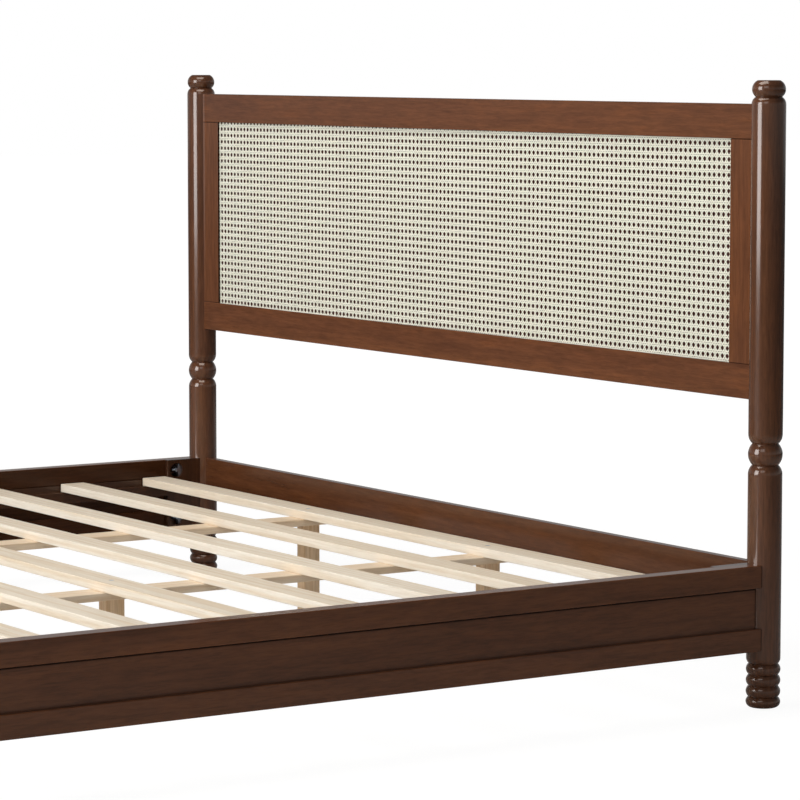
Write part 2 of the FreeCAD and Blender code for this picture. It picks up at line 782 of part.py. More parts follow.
def slats():
    reach = f"({POST_X} - {BAND_IN} - slat_end_gap)"
    for index in range(SLAT_COUNT):
        label = f"slat_{index + 1:02d}"
        blank = plank(label + "_blank", (f"-{reach}", reach), middle(slat_y(index), "slat_wide"),
                      (SLAT_LOW, "slat_top"), "x", "pine_ease")
        holes = [crossing(f"{label}_{beam}_hole", "fit_gap", beam, index) for beam in BEAMS]
        keep(cut(label, blank, holes), label)


def beams_and_legs():
    for beam, centre in BEAMS.items():
        label = f"slat_beam_{beam}"
        y = (f"{slat_y(SLAT_COUNT - 1)} - beam_overhang", f"{slat_y(0)} + beam_overhang")
        blank = plank(label + "_blank", middle(centre, "beam_wide"), y, (BEAM_LOW, SLAT_LOW),
                      "y", "pine_ease")
        holes = [crossing(f"{label}_hole_{index}", "fit_gap", beam, index)
                 for index in range(SLAT_COUNT)]
        keep(cut(label, blank, holes), label)
        for row, index in enumerate(LEG_SLATS, start=1):
            leg = f"support_leg_{beam}_{row}"
            blank = plank(leg + "_blank", middle(centre, "leg_wide"),
                          middle(slat_y(index), "leg_deep"), ("glide_proud", BEAM_LOW),
                          "z", "pine_ease")
            seat = glide(leg + "_seat", "leg_glide_r", "fit_gap", (centre, slat_y(index), "0"))
            hole = leg_screw(leg + "_screw_hole", "fit_gap", beam, index)
            keep(cut(leg, blank, [seat, hole]), leg)
    over_legs = [(beam, index) for beam in BEAMS for index in LEG_SLATS]
    elsewhere = [(beam, index) for beam in BEAMS for index in range(SLAT_COUNT)
                 if index not in LEG_SLATS]
    keep(group("leg_screws", [leg_screw(f"leg_screw_{beam}_{index}", "0", beam, index)
                              for beam, index in over_legs]), "leg_screws")
    keep(group("beam_screws", [beam_screw(f"beam_screw_{beam}_{index}", "0", beam, index)
                               for beam, index in elsewhere]), "beam_screws")
    keep(group("leg_glides", [glide(f"leg_glide_{beam}_{index}", "leg_glide_r", "0",
                                    (BEAMS[beam], slat_y(index), "0"))
                              for beam, index in over_legs]), "leg_glides")


def build():
    headboard()
    ledger_sets = []
    for name, rail in RAILS.items():
        rail_pieces(name, rail)
        for end in (0, 1):
            rail_end(name, rail, end)
        if name.startswith("side"):
            ledger_sets += ledger(name, rail)
    for kind, items in hardware.items():
        keep(group(kind, items), kind)
    keep(group("ledger_screws", ledger_sets), "ledger_screws")
    posts()
    slats()
    beams_and_legs()
    doc.recompute()


def check():
    """Stop where an object failed or a piece has no valid shape."""
    for item in doc.Objects:
        if "Invalid" in item.State or "Error" in item.State:
            raise RuntimeError(f"{item.Label} failed: {item.State}")
    for label, item in pieces.items():
        if item.Shape.isNull() or not item.Shape.isValid() or not item.Shape.Solids:
            raise RuntimeError(f"{label} has no valid solid")


def export():
    os.makedirs("parts", exist_ok=True)
    for label, item in pieces.items():
        item.Shape.exportStep(f"parts/{label}.step")


build()
check()
export()
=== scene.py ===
"""King-size panel bed with turned posts and a cane headboard.

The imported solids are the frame. This script adds the woven cane, finer fasteners, the finishes,
the light, the floor and the camera. Lengths are in metres, and the bed's head is towards +Y.
"""

import math

import bmesh
import bpy
from mathutils import Matrix, Vector


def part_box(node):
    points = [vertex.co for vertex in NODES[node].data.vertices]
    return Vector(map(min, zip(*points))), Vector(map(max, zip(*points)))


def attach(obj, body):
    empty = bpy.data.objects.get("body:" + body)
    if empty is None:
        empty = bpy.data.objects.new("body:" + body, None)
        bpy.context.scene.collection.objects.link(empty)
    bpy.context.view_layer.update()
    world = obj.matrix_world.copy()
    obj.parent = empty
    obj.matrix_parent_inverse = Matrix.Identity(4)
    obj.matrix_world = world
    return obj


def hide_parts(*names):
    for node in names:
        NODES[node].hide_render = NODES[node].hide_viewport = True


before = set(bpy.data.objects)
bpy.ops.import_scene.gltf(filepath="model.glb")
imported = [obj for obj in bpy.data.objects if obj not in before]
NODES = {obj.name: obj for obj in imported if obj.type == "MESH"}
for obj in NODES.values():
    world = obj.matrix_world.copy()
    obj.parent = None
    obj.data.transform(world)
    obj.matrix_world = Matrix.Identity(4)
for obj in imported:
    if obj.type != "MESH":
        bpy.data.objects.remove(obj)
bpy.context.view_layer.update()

# The camera of the photograph
LENS_MM = 158.0
SENSOR_MM = 36.0
CAMERA_PLACE = (5.7188, -2.8184, 1.1370)
CAMERA_DIP = math.radians(5.601)
CAMERA_TURN = math.radians(56.85)

# Softboxes: size is width and height, and mirrored says whether gloss shows them
SOFTBOXES = {
    "softbox_key": dict(
        centre=(-0.22, -4.60, 2.20),
        aim=(-0.22, 1.0, 2.20),
        size=(2.90, 3.50),
        radiance=6.42,
        colour=(0.98, 1.0, 1.02),
        mirrored=True,
    ),
    "softbox_top": dict(
        centre=(0.20, -0.05, 3.55),
        aim=(0.0, 0.1, 0.25),
        size=(2.40, 1.80),
        radiance=3.80,
        colour=(1.0, 0.94, 0.87),
        mirrored=True,
    ),
    "softbox_side": dict(
        centre=(3.10, -2.80, 3.10),
        aim=(0.0, 0.1, 0.25),
        size=(2.60, 1.80),
        radiance=1.35,
        colour=(1.0, 1.0, 1.0),
        mirrored=True,
    ),
    "softbox_back": dict(
        centre=(-1.60, 4.60, 1.10),
        aim=(0.0, 1.06, 0.60),
        size=(3.20, 1.40),
        radiance=2.0,
        colour=(1.0, 0.98, 0.96),
        mirrored=False,
    ),
}
# Watts for each square metre of a softbox and unit of its radiance
SOFTBOX_WATTS = 4.0

# What each kind of ray sees of the backdrop: its strengths, and the heights between which gloss darkens
BACKDROP_WHITE = 1.0
BACKDROP_FILL = 0.12
BACKDROP_GLOSSY = 0.41
BACKDROP_GLOSSY_HIGH = 0.10
GLOSSY_FALL = (0.12, 0.45)

# The floor: its span, its tones, and the glow that the camera sees, near the bed and far from it
FLOOR_SPAN = 60.0
FLOOR_TONE = 0.80
FLOOR_MIRRORED_TONE = 0.44
FLOOR_SEEN_TONE = 0.12
FLOOR_GLOW_NEAR = 0.935
FLOOR_GLOW_FAR = 1.0
FLOOR_NEAR = 2.2
FLOOR_FAR = 7.0

# Red, green and blue of the darker walnut pieces, as shares of those of the headboard's frame
POST_DEPTH = (0.725, 0.790, 0.940)
CROSS_DEPTH = (0.71, 0.71, 0.71)
# The blocks and ledgers inside the rails: their darkness is painted shade of the bed's inside
BLOCK_SHADE_DEPTH = (0.39, 0.44, 0.54)
LEDGER_SHADE_DEPTH = (0.40, 0.42, 0.46)

# Lacquer on the walnut: lowest and highest roughness, tint, open pores, and the coat of polished pieces
BRUSHED = (0.16, 0.20)
POLISHED = (0.14, 0.16)
SHEEN_TINT = (1.0, 0.89, 0.82)
PORE_BUMP = 0.06
COAT_WEIGHT = 0.38
COAT_ROUGHNESS = 0.10

# Darker lines on the walnut, painted shade except the stiles' dark joints: how far past an edge each
# starts and is full, and the share it takes
# Painted shade on the inner faces of the side rails and panels, which dims their colour and sheen
INSIDE_SHADE = (0.0012, 0.0006, 0.63)
# Painted shadow of the gap where the side rails' members and panels meet the head posts
BAND_GAP_SHADOW = (-0.0022, -0.0012, 0.70)
PANEL_GAP_SHADOW = (-0.0030, -0.0018, 0.55)
# Painted shadow along the panels' tops, under the rails' upper members
SHADOW_BELOW_BAND = (-0.0048, -0.0030, 0.85)
# Painted shade on the stiles' rebate wall beside the cane
REBATE_SHADE = (0.0008, 0.0003, 0.82)
# Dark joint lines where the stiles meet the top and bottom rails
STILE_AT_TOP = (-0.0016, -0.0008, 0.80)
STILE_AT_FOOT = (0.0016, 0.0008, 0.80)

# The board behind the cane: the depth of its skin, and how much darker its front is than its back
BOARD_SKIN = 0.0005
BOARD_LOSS = 0.69

# Pine: red, green and blue of the warmer beams and of the legs, and how strong the legs' fibres are.
# The legs' warmer, darker tone is painted shade, as they stand under the slats
BOARD_WARMTH = (1.01, 0.93, 0.85)
LEG_SHADE_WARMTH = (0.99, 0.84, 0.68)
LEG_FIBRES = 1.0

# The cane's holes: their pitch, the middle of one, and how much a row rises for each metre to the right
CANE_PITCH_X = 0.013744
CANE_PITCH_Z = 0.01383
CANE_HOLE_X = -0.0004
CANE_HOLE_Z = 0.8016
CANE_RISE = 0.0028

# The cane's strands: a pair's half distance as a share of the pitch, their section, how far the pairs
# and the diagonals weave, and how far the weave lies behind the sheet's middle and ends inside its edge
PAIR_HALF = 0.116
STRAND_WIDE = 0.00225
STRAND_THICK = 0.00028
PAIR_WEAVE = 0.00009
DIAGONAL_WEAVE = 0.00020
WEAVE_BACK = 0.00035
TRIM_INSIDE = 0.0004

# Points closer than the gap are one, and faces within the angle lie flat
MERGE_GAP = 0.00001
FLAT = math.radians(1)

# Steel: eased edges and threads
STEEL_EASE = 0.0005
EASE_STEPS = 2
EASED_SHARP = math.radians(50)
THREAD_PITCH = 0.00125
THREAD_DEEP = 0.00055
THREAD_SIDES = 16
THREAD_SHARP = math.radians(25)

# Cross slots: the reach, half width and depth of an arm, in shares of the head's radius
SLOT_REACH = 0.60
SLOT_HALF = 0.13
SLOT_DEEP = 0.45
# Their cutter stands above the head by a share of that depth, and its tip is a share of its top
SLOT_SPARE = 0.25
SLOT_TIP = 0.55
SLOT_CORNERS = 12
# Each screw is turned on from the one before by so many radians
SLOT_TURN = 0.7
SLOT_SHARP = math.radians(35)

# The colour sockets of a Mix node, which share their names with its other kinds
MIX_FIRST = 6
MIX_SECOND = 7
MIX_RESULT = 2


# Small helpers


def nothing_selected():
    if bpy.context.mode != "OBJECT":
        bpy.ops.object.mode_set(mode="OBJECT")
    bpy.ops.object.select_all(action="DESELECT")


def only(piece):
    nothing_selected()
    piece.select_set(True)
    bpy.context.view_layer.objects.active = piece


def edit(piece):
    only(piece)
    bpy.ops.object.mode_set(mode="EDIT")


def done():
    bpy.ops.object.mode_set(mode="OBJECT")


def apply_all(piece):
    only(piece)
    for modifier in list(piece.modifiers):
        bpy.ops.object.modifier_apply(modifier=modifier.name)


def place(piece, finish, slot, *stands_for):
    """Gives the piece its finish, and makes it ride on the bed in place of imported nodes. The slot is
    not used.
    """
    piece.data.materials.clear()
    piece.data.materials.append(finish)
    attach(piece, "root")
    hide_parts(*stands_for)


# Node helpers


def new_finish(name):
    finish = bpy.data.materials.new(name)
    finish.use_nodes = True
    tree = finish.node_tree
    return finish, tree, tree.nodes["Principled BSDF"]


def add(tree, kind, sockets=None, **settings):
    """A node with its settings and the values of its sockets, by name."""
    node = tree.nodes.new(kind)
    for name, value in settings.items():
        setattr(node, name, value)
    for name, value in (sockets or {}).items():
        node.inputs[name].default_value = value
    return node


def joined(tree, source, target, socket=None):
    tree.links.new(source, target if socket is None else target.inputs[socket])


def own_place(tree):
    """Coordinates on the piece itself."""
    return add(tree, "ShaderNodeTexCoord").outputs["Object"]


def stretched(tree, grain, squeeze):
    """Coordinates squeezed along the grain, so that what they carry is drawn out that way."""
    scale = [squeeze if axis == grain else 1.0 for axis in "XYZ"]
    mapping = add(tree, "ShaderNodeMapping", {"Scale": scale})
    joined(tree, own_place(tree), mapping, "Vector")
    return mapping.outputs["Vector"]


def noise(tree, where, scale, detail=3.0, rough=0.55, distortion=0.0):
    sockets = {"Scale": scale, "Detail": detail, "Roughness": rough, "Distortion": distortion}
    node = add(tree, "ShaderNodeTexNoise", sockets)
    joined(tree, where, node, "Vector")
    return node.outputs["Fac"]


def rings(tree, where, grain, scale, distortion, detail_scale):
    """Year rings about the grain."""
    sockets = {"Scale": scale, "Distortion": distortion, "Detail": 3.0, "Detail Scale": detail_scale}
    node = add(tree, "ShaderNodeTexWave", sockets, wave_type="RINGS", rings_direction=grain)
    joined(tree, where, node, "Vector")
    return node.outputs["Fac"]


def ramp(tree, fac, *stops):
    """A colour ramp of (place, colour) stops, or (place, grey)."""
    node = add(tree, "ShaderNodeValToRGB")
    elements = node.color_ramp.elements
    while len(elements) < len(stops):
        elements.new(0.5)
    for element, (at, colour) in zip(elements, stops):
        element.position = at
        shade = (colour, colour, colour) if isinstance(colour, float) else colour
        element.color = (*shade, 1.0)
    joined(tree, fac, node, "Fac")
    return node.outputs["Color"]


def toned(stops, factors):
    """Colour stops with their red, green and blue multiplied by the factors."""
    return [(at, tuple(part * by for part, by in zip(colour, factors))) for at, colour in stops]


def shaded(tree, colour, by, amount=1.0):
    """A colour multiplied by another, as far as the amount says."""
    node = add(tree, "ShaderNodeMix", {"Factor": amount}, data_type="RGBA", blend_type="MULTIPLY")
    joined(tree, colour, node.inputs[MIX_FIRST])
    joined(tree, by, node.inputs[MIX_SECOND])
    return node.outputs[MIX_RESULT]


def mapped(tree, value, first, last, start=0.0, end=1.0):
    """A factor that goes from first, where the value is start, to last, where it is end."""
    sockets = {"From Min": start, "From Max": end, "To Min": first, "To Max": last}
    node = add(tree, "ShaderNodeMapRange", sockets)
    joined(tree, value, node, "Value")
    return node.outputs["Result"]


def faded(tree, axis, start, full, loss):
    """A factor that falls from one at start by the loss at full, alike on both sides of the middle."""
    apart = add(tree, "ShaderNodeSeparateXYZ")
    joined(tree, own_place(tree), apart, "Vector")
    distance = add(tree, "ShaderNodeMath", operation="ABSOLUTE")
    joined(tree, apart.outputs[axis], distance.inputs[0])
    return mapped(tree, distance.outputs[0], 1.0, 1.0 - loss, start, full)


def dulled(tree, level, fade):
    """Multiplies what a socket has so far, its number or its link, by the fade."""
    node = add(tree, "ShaderNodeMath", operation="MULTIPLY")
    if level.is_linked:
        joined(tree, level.links[0].from_socket, node.inputs[0])
    else:
        node.inputs[0].default_value = level.default_value
    joined(tree, fade, node.inputs[1])
    joined(tree, node.outputs[0], level)


def varied_roughness(tree, shader, fac, low, high):
    joined(tree, mapped(tree, fac, low, high), shader, "Roughness")


def bumped(tree, shader, height, strength, distance):
    node = add(tree, "ShaderNodeBump", {"Strength": strength, "Distance": distance})
    joined(tree, height, node, "Height")
    joined(tree, node.outputs["Normal"], shader, "Normal")


# Finishes


def walnut(name, grain, shade_and_joint_lines=(), depth=(1.0, 1.0, 1.0), polished=False):
    """Lacquered walnut stain: drawn-out tone, rings, fine streaks and short open pores.

    Each entry of shade_and_joint_lines is an axis, the places on it where a darker line starts and is
    full, and the share of colour and sheen that it takes: painted shade, except the stiles' dark joint
    lines. Depths under one make a darker board. A polished piece has a smoother surface under a clear
    coat, and its pores can't be felt.
    """
    finish, tree, shader = new_finish(name)
    along = stretched(tree, grain, squeeze=0.05)
    tone = noise(tree, along, scale=16.0, detail=4.0, rough=0.6, distortion=0.4)
    figure = rings(tree, along, grain, scale=34.0, distortion=9.0, detail_scale=1.6)
    streaks = stretched(tree, grain, squeeze=0.10)
    streak = noise(tree, streaks, scale=230.0, detail=4.0, rough=0.72, distortion=0.6)
    blotches = stretched(tree, grain, squeeze=0.16)
    blotch = noise(tree, blotches, scale=36.0, rough=0.6, distortion=0.6)
    pores = noise(tree, stretched(tree, grain, squeeze=0.022), scale=900.0, detail=1.0)
    tones = (
        (0.28, (0.112, 0.038, 0.0147)),
        (0.50, (0.141, 0.050, 0.0193)),
        (0.64, (0.164, 0.058, 0.0221)),
        (0.78, (0.199, 0.072, 0.0252)),
    )
    colour = ramp(tree, tone, *toned(tones, depth))
    colour = shaded(tree, colour, ramp(tree, figure, (0.10, 0.78), (0.75, 1.0)), amount=0.35)
    colour = shaded(tree, colour, ramp(tree, streak, (0.36, 0.62), (0.60, 1.02)), amount=0.62)
    cool_to_warm = ((0.32, (0.84, 0.82, 0.84)), (0.55, 1.0), (0.72, (1.12, 1.06, 0.94)))
    colour = shaded(tree, colour, ramp(tree, blotch, *cool_to_warm))
    colour = shaded(tree, colour, ramp(tree, pores, (0.33, 0.45), (0.41, 1.0)), amount=0.30)
    # Each line darkens the colour and dims the sheen, as painted shade except at the stiles' joints
    for line in shade_and_joint_lines:
        fade = faded(tree, *line)
        colour = shaded(tree, colour, fade)
        dulled(tree, shader.inputs["Specular IOR Level"], fade)
    joined(tree, colour, shader, "Base Color")
    shader.inputs["Specular Tint"].default_value = (*SHEEN_TINT, 1.0)
    if polished:
        varied_roughness(tree, shader, streak, *POLISHED)
        shader.inputs["Coat Weight"].default_value = COAT_WEIGHT
        shader.inputs["Coat Roughness"].default_value = COAT_ROUGHNESS
    else:
        varied_roughness(tree, shader, streak, *BRUSHED)
        bumped(tree, shader, ramp(tree, pores, (0.33, 0.0), (0.43, 1.0)), PORE_BUMP, distance=0.00005)
    return finish


def pine(name, grain, warmth_and_shade=(1.0, 1.0, 1.0), fibres=0.55):
    """Sanded pale pine: soft year rings and fine fibres, on a tone that warmth_and_shade can deepen: a
    warmer wood on the beams, and painted shade on the legs.
    """
    finish, tree, shader = new_finish(name)
    along = stretched(tree, grain, squeeze=0.04)
    tone = noise(tree, along, scale=9.0, rough=0.5, distortion=0.3)
    figure = rings(tree, along, grain, scale=22.0, distortion=7.0, detail_scale=1.2)
    fibre = noise(tree, along, scale=330.0, rough=0.7)
    tones = (
        (0.30, (0.775, 0.680, 0.550)),
        (0.55, (0.818, 0.740, 0.626)),
        (0.75, (0.845, 0.778, 0.672)),
    )
    colour = ramp(tree, tone, *toned(tones, warmth_and_shade))
    ringed = ramp(tree, figure, (0.05, (0.86, 0.74, 0.58)), (0.55, 1.0))
    colour = shaded(tree, colour, ringed, amount=0.45)
    lined = ramp(tree, fibre, (0.34, (0.80, 0.74, 0.66)), (0.56, 1.0))
    colour = shaded(tree, colour, lined, amount=fibres)
    joined(tree, colour, shader, "Base Color")
    varied_roughness(tree, shader, fibre, low=0.46, high=0.60)
    bumped(tree, shader, fibre, strength=0.18, distance=0.00015)
    return finish


def cane_finish():
    """Glossy outer skin of rattan, pale straw with faint warm lengths."""
    finish, tree, shader = new_finish("cane_skin")
    where = own_place(tree)
    lengths = noise(tree, where, scale=24.0, rough=0.6)
    fleck = noise(tree, where, scale=480.0, detail=2.0, rough=0.6)
    tones = (
        (0.32, (0.912, 0.897, 0.762)),
        (0.55, (0.926, 0.917, 0.787)),
        (0.75, (0.938, 0.936, 0.806)),
    )
    flecks = ramp(tree, fleck, (0.30, (0.90, 0.84, 0.72)), (0.50, 1.0))
    colour = shaded(tree, ramp(tree, lengths, *tones), flecks, amount=0.30)
    joined(tree, colour, shader, "Base Color")
    varied_roughness(tree, shader, fleck, low=0.34, high=0.46)
    return finish


def board_finish():
    """Stained fibreboard, brown at the back and nearly black behind the cane."""
    finish, tree, shader = new_finish("stained_board")
    where = own_place(tree)
    fibres = noise(tree, where, scale=700.0, detail=4.0, rough=0.7, distortion=1.5)
    patches = noise(tree, where, scale=12.0, rough=0.5)
    colour = ramp(tree, fibres, (0.35, (0.100, 0.0210, 0.0070)), (0.68, (0.165, 0.0350, 0.0115)))
    colour = shaded(tree, colour, ramp(tree, patches, (0.3, 0.7), (0.7, 1.0)), amount=0.4)
    low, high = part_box("headboard_backing_board")
    colour = shaded(tree, colour, faded(tree, "Y", high.y - BOARD_SKIN, low.y + BOARD_SKIN, BOARD_LOSS))
    joined(tree, colour, shader, "Base Color")
    varied_roughness(tree, shader, fibres, low=0.55, high=0.70)
    bumped(tree, shader, fibres, strength=0.25, distance=0.0002)
    shader.inputs["Specular IOR Level"].default_value = 0.2
    return finish


def steel_finish():
    """Bright zinc plate, slightly blue, with faint spangle."""
    finish, tree, shader = new_finish("zinc_plate")
    spangle = noise(tree, own_place(tree), scale=650.0, detail=2.0, rough=0.6)
    colour = ramp(tree, spangle, (0.35, (0.40, 0.46, 0.55)), (0.65, (0.56, 0.62, 0.71)))
    joined(tree, colour, shader, "Base Color")
    shader.inputs["Metallic"].default_value = 1.0
    varied_roughness(tree, shader, spangle, low=0.26, high=0.40)
    bumped(tree, shader, spangle, strength=0.10, distance=0.00005)
    return finish


def nylon_finish():
    """Hard grey-brown nylon of the glides, scuffed all over."""
    finish, tree, shader = new_finish("glide_plastic")
    scuff = noise(tree, own_place(tree), scale=300.0, detail=4.0, rough=0.7)
    colour = ramp(tree, scuff, (0.40, (0.075, 0.062, 0.052)), (0.72, (0.120, 0.104, 0.090)))
    joined(tree, colour, shader, "Base Color")
    varied_roughness(tree, shader, scuff, low=0.40, high=0.62)
    bumped(tree, shader, scuff, strength=0.15, distance=0.0001)
    return finish


def past(axis, edge, line):
    """A darker line of painted shade, or a dark joint line, set by the place of the edge that it lies
    along.
    """
    start, full, loss = line
    return axis, edge + start, edge + full, loss


BAND_LOW, BAND_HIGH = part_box("side_rail_right_top")
STILE_LOW, STILE_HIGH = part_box("headboard_stile_right")
PANEL_LOW, PANEL_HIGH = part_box("side_rail_right_panel")
# The side rails' members: painted shade on their inner faces, and a painted shadow where they meet the
# posts
BAND_LINES = (
    past("X", BAND_LOW.x, INSIDE_SHADE),
    past("Y", BAND_HIGH.y, BAND_GAP_SHADOW),
)
# The stiles: painted shade on the rebate wall by the cane, and dark joint lines at their ends
STILE_LINES = (
    past("X", STILE_LOW.x, REBATE_SHADE),
    past("Z", STILE_HIGH.z, STILE_AT_TOP),
    past("Z", STILE_LOW.z, STILE_AT_FOOT),
)
# The painted shadow under the upper members, also used on the foot panel
UNDER_BAND = past("Z", BAND_LOW.z, SHADOW_BELOW_BAND)
# The side panels: painted shadow under the upper member and where they meet the posts, and painted
# shade on their inner faces
PANEL_LINES = (
    UNDER_BAND,
    past("X", PANEL_LOW.x, INSIDE_SHADE),
    past("Y", PANEL_HIGH.y, PANEL_GAP_SHADOW),
)
WALNUT = {
    "X": walnut("walnut_along_x", "X"),
    "Y": walnut("walnut_along_y", "Y", BAND_LINES),
    "Z": walnut("walnut_along_z", "Z", depth=POST_DEPTH, polished=True),
}
CROSS_WALNUT = walnut("walnut_cross_rail", "X", depth=CROSS_DEPTH)
BLOCK_WALNUT = walnut("walnut_blocks", "Z", depth=BLOCK_SHADE_DEPTH)
LEDGER_WALNUT = walnut("walnut_ledgers", "Y", depth=LEDGER_SHADE_DEPTH)
STILE_WALNUT = walnut("walnut_stiles", "Z", STILE_LINES)
PANEL_WALNUT = {
    "X": walnut("walnut_panels_x", "X", (UNDER_BAND,)),
    "Y": walnut("walnut_panels_y", "Y", PANEL_LINES),
}
PINE = {
    "X": pine("pine_along_x", "X"),
    "Y": pine("pine_along_y", "Y", BOARD_WARMTH),
    "Z": pine("pine_along_z", "Z", LEG_SHADE_WARMTH, LEG_FIBRES),
}
CANE = cane_finish()
BOARD = board_finish()
STEEL = steel_finish()
NYLON = nylon_finish()


def finish_for(node):
    """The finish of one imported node, with the grain along its length."""
    if "glides" in node:
        return NYLON
    if any(word in node for word in ("screws", "studs", "nuts", "washers", "inserts")):
        return STEEL
    if node == "headboard_backing_board":
        return BOARD
    if node == "cane_panel":
        return CANE
    if node.startswith(("slat_0", "slat_1")) or node == "frame_dowels":
        return PINE["X"]
    if node.startswith("slat_beam"):
        return PINE["Y"]
    if node.startswith("support_leg"):
        return PINE["Z"]
    if node.endswith("panel"):
        return PANEL_WALNUT["X" if node.startswith("foot") else "Y"]
    if "stile" in node:
        return STILE_WALNUT
    if node == "head_cross_rail":
        return CROSS_WALNUT
    if "block" in node:
        return BLOCK_WALNUT
    if "ledger" in node:
        return LEDGER_WALNUT
    if node.startswith("side_rail"):
        return WALNUT["Y"]
    if "post" in node:
        return WALNUT["Z"]
    return WALNUT["X"]


def finish_nodes():
    for name, node in NODES.items():
        node.data.materials.clear()
        node.data.materials.append(finish_for(name))


# The woven cane


def drawn_strand(name, across, points):
    """A ribbon of diamond section through the points; across is the direction of its width."""
    nothing_selected()
    bpy.ops.mesh.primitive_circle_add(vertices=4, radius=1.0, fill_type="NOTHING")
    strand = bpy.context.object
    strand.name = name
    strand.data.name = name
    edit(strand)
    bpy.ops.mesh.select_all(action="SELECT")
    ring = bmesh.from_edit_mesh(strand.data)
    corners = (
        across * (STRAND_WIDE / 2),
        Vector((0, STRAND_THICK / 2, 0)),
        across * (-STRAND_WIDE / 2),
        Vector((0, -STRAND_THICK / 2, 0)),
    )
    for vertex, corner in zip(ring.verts, corners):
        vertex.co = points[0] + corner
    bmesh.update_edit_mesh(strand.data)
    for before, after in zip(points, points[1:]):
        bpy.ops.mesh.extrude_region_move(TRANSFORM_OT_translate={"value": after - before})
    done()
    return strand


def repeated(piece, step, count, merged):
    """Adds and applies a row of copies of the piece."""
    only(piece)
    row = piece.modifiers.new("row", "ARRAY")
    row.use_relative_offset = False
    row.use_constant_offset = True
    row.constant_offset_displace = step
    row.count = count
    row.use_merge_vertices = merged
    row.merge_threshold = MERGE_GAP
    bpy.ops.object.modifier_apply(modifier=row.name)


def trimmed(piece, low, high):
    """Cuts the strands off inside the frame's groove and closes their ends."""
    edit(piece)
    cuts = (
        (Vector((low.x, 0, 0)), Vector((-1, 0, 0))),
        (Vector((high.x, 0, 0)), Vector((1, 0, 0))),
        (Vector((0, 0, low.z)), Vector((0, 0, -1))),
        (Vector((0, 0, high.z)), Vector((0, 0, 1))),
    )
    for at, outwards in cuts:
        bpy.ops.mesh.select_all(action="SELECT")
        bpy.ops.mesh.bisect(plane_co=at, plane_no=outwards, clear_outer=True)
    bpy.ops.mesh.select_all(action="SELECT")
    bpy.ops.mesh.fill_holes(sides=8)
    bpy.ops.mesh.select_all(action="SELECT")
    bpy.ops.mesh.normals_make_consistent(inside=False)
    done()
    only(piece)
    bpy.ops.object.shade_smooth()


def leaned(piece):
    """Lets the rows rise a little to the right, as the sheet was stretched."""
    for vertex in piece.data.vertices:
        vertex.co.z += CANE_RISE * vertex.co.x


def woven_cane():
    """Pairs up and across, woven over and under, and single diagonals both ways."""
    low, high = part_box("cane_panel")
    middle = (low.y + high.y) / 2 + WEAVE_BACK
    inside = Vector((TRIM_INSIDE, 0, TRIM_INSIDE))
    across = Vector((CANE_PITCH_X, 0, 0))
    upwards = Vector((0, 0, CANE_PITCH_Z))
    # The first crossing of two pairs lies just outside the sheet's lower left corner
    first_x = CANE_HOLE_X - CANE_PITCH_X / 2
    first_z = CANE_HOLE_Z - CANE_PITCH_Z / 2
    left = first_x - math.ceil((first_x - low.x) / CANE_PITCH_X) * CANE_PITCH_X
    foot = first_z - math.ceil((first_z - low.z) / CANE_PITCH_Z + 0.5) * CANE_PITCH_Z
    columns = math.ceil((high.x - left) / CANE_PITCH_X) + 1
    rows = math.ceil((high.z - foot) / CANE_PITCH_Z) + 2
    # Where a strand can bend on its way past a crossing, in shares of the pitch
    bends = (-0.5 + PAIR_HALF, -PAIR_HALF, PAIR_HALF, 0.5 - PAIR_HALF, 0.5 + PAIR_HALF)
    strands = []
    for side, name in ((-1, "left"), (1, "right")):
        heights = (0.0, -side * PAIR_WEAVE, side * PAIR_WEAVE, 0.0, 0.0)
        points = [
            Vector((left + side * PAIR_HALF * CANE_PITCH_X, middle + rise, foot + at * CANE_PITCH_Z))
            for at, rise in zip(bends, heights)
        ]
        strand = drawn_strand("cane_upright_" + name, Vector((1, 0, 0)), points)
        repeated(strand, upwards, rows, True)
        repeated(strand, across, columns, False)
        strands.append(strand)
    for side, name in ((-1, "lower"), (1, "upper")):
        heights = (0.0, side * PAIR_WEAVE, -side * PAIR_WEAVE, 0.0, 0.0)
        points = [
            Vector((left + at * CANE_PITCH_X, middle + rise, foot + side * PAIR_HALF * CANE_PITCH_Z))
            for at, rise in zip(bends, heights)
        ]
        strand = drawn_strand("cane_across_" + name, Vector((0, 0, -1)), points)
        repeated(strand, across, columns, True)
        repeated(strand, upwards, rows, False)
        strands.append(strand)
    for lean, name in ((1, "rising"), (-1, "falling")):
        deep = -lean * DIAGONAL_WEAVE
        heights = (deep, -deep, -deep, deep, deep)
        points = [
            Vector((left + lean * (0.5 + at) * CANE_PITCH_X, middle + rise, foot + at * CANE_PITCH_Z))
            for at, rise in zip(bends, heights)
        ]
        strand = drawn_strand("cane_diagonal_" + name, Vector((1, 0, 0)) * math.sqrt(2), points)
        repeated(strand, upwards + lean * across, rows, True)
        shift = 0 if lean < 0 else rows
        for vertex in strand.data.vertices:
            vertex.co.x -= shift * CANE_PITCH_X
        repeated(strand, across, columns + rows + 1, False)
        strands.append(strand)
    for strand in strands:
        leaned(strand)
        trimmed(strand, low + inside, high - inside)
        place(strand, CANE, "cane", "cane_panel")


# Bolts and screws


def merged_copy(node, name):
    """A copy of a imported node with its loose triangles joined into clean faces."""
    mesh = NODES[node].data.copy()
    mesh.transform(NODES[node].matrix_world)
    mesh.name = name
    piece = bpy.data.objects.new(name, mesh)
    bpy.context.scene.collection.objects.link(piece)
    edit(piece)
    bpy.ops.mesh.select_all(action="SELECT")
    bpy.ops.mesh.remove_doubles(threshold=MERGE_GAP)
    bpy.ops.mesh.dissolve_limited(angle_limit=FLAT)
    done()
    return piece


